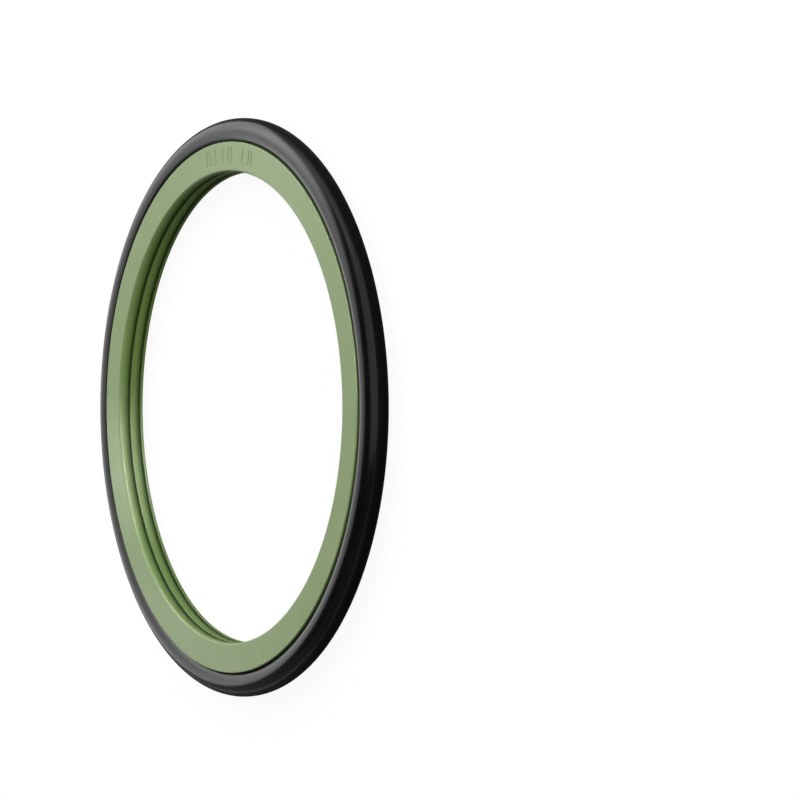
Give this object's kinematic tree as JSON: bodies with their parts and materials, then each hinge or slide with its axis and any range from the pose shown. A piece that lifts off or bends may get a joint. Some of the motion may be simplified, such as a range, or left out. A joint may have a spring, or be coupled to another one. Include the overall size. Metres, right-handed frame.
{
  "type": "oil seal",
  "caption": "Slim ring seal for a shaft or rod: a turned green slide ring with a grooved bore, and a black O-ring seated in its hollow back.",
  "frame": {"origin": "on the seal's axis, in the plane that the cord lies on, which is the middle of the bottom of its box", "axes": "+Z along the seal's axis, from the face it lies on towards the face beside the wide land of the bore; X and Y are across the seal"},
  "size_m": [0.0737, 0.0736, 0.0036],
  "materials": {
    "seal_ring": "turned filled PTFE, satin",
    "o_ring": "moulded nitrile rubber, smooth and black"
  },
  "bodies": {
    "root": {"seal_ring": "seal_ring", "o_ring": "o_ring"}
  },
  "joints": []
}
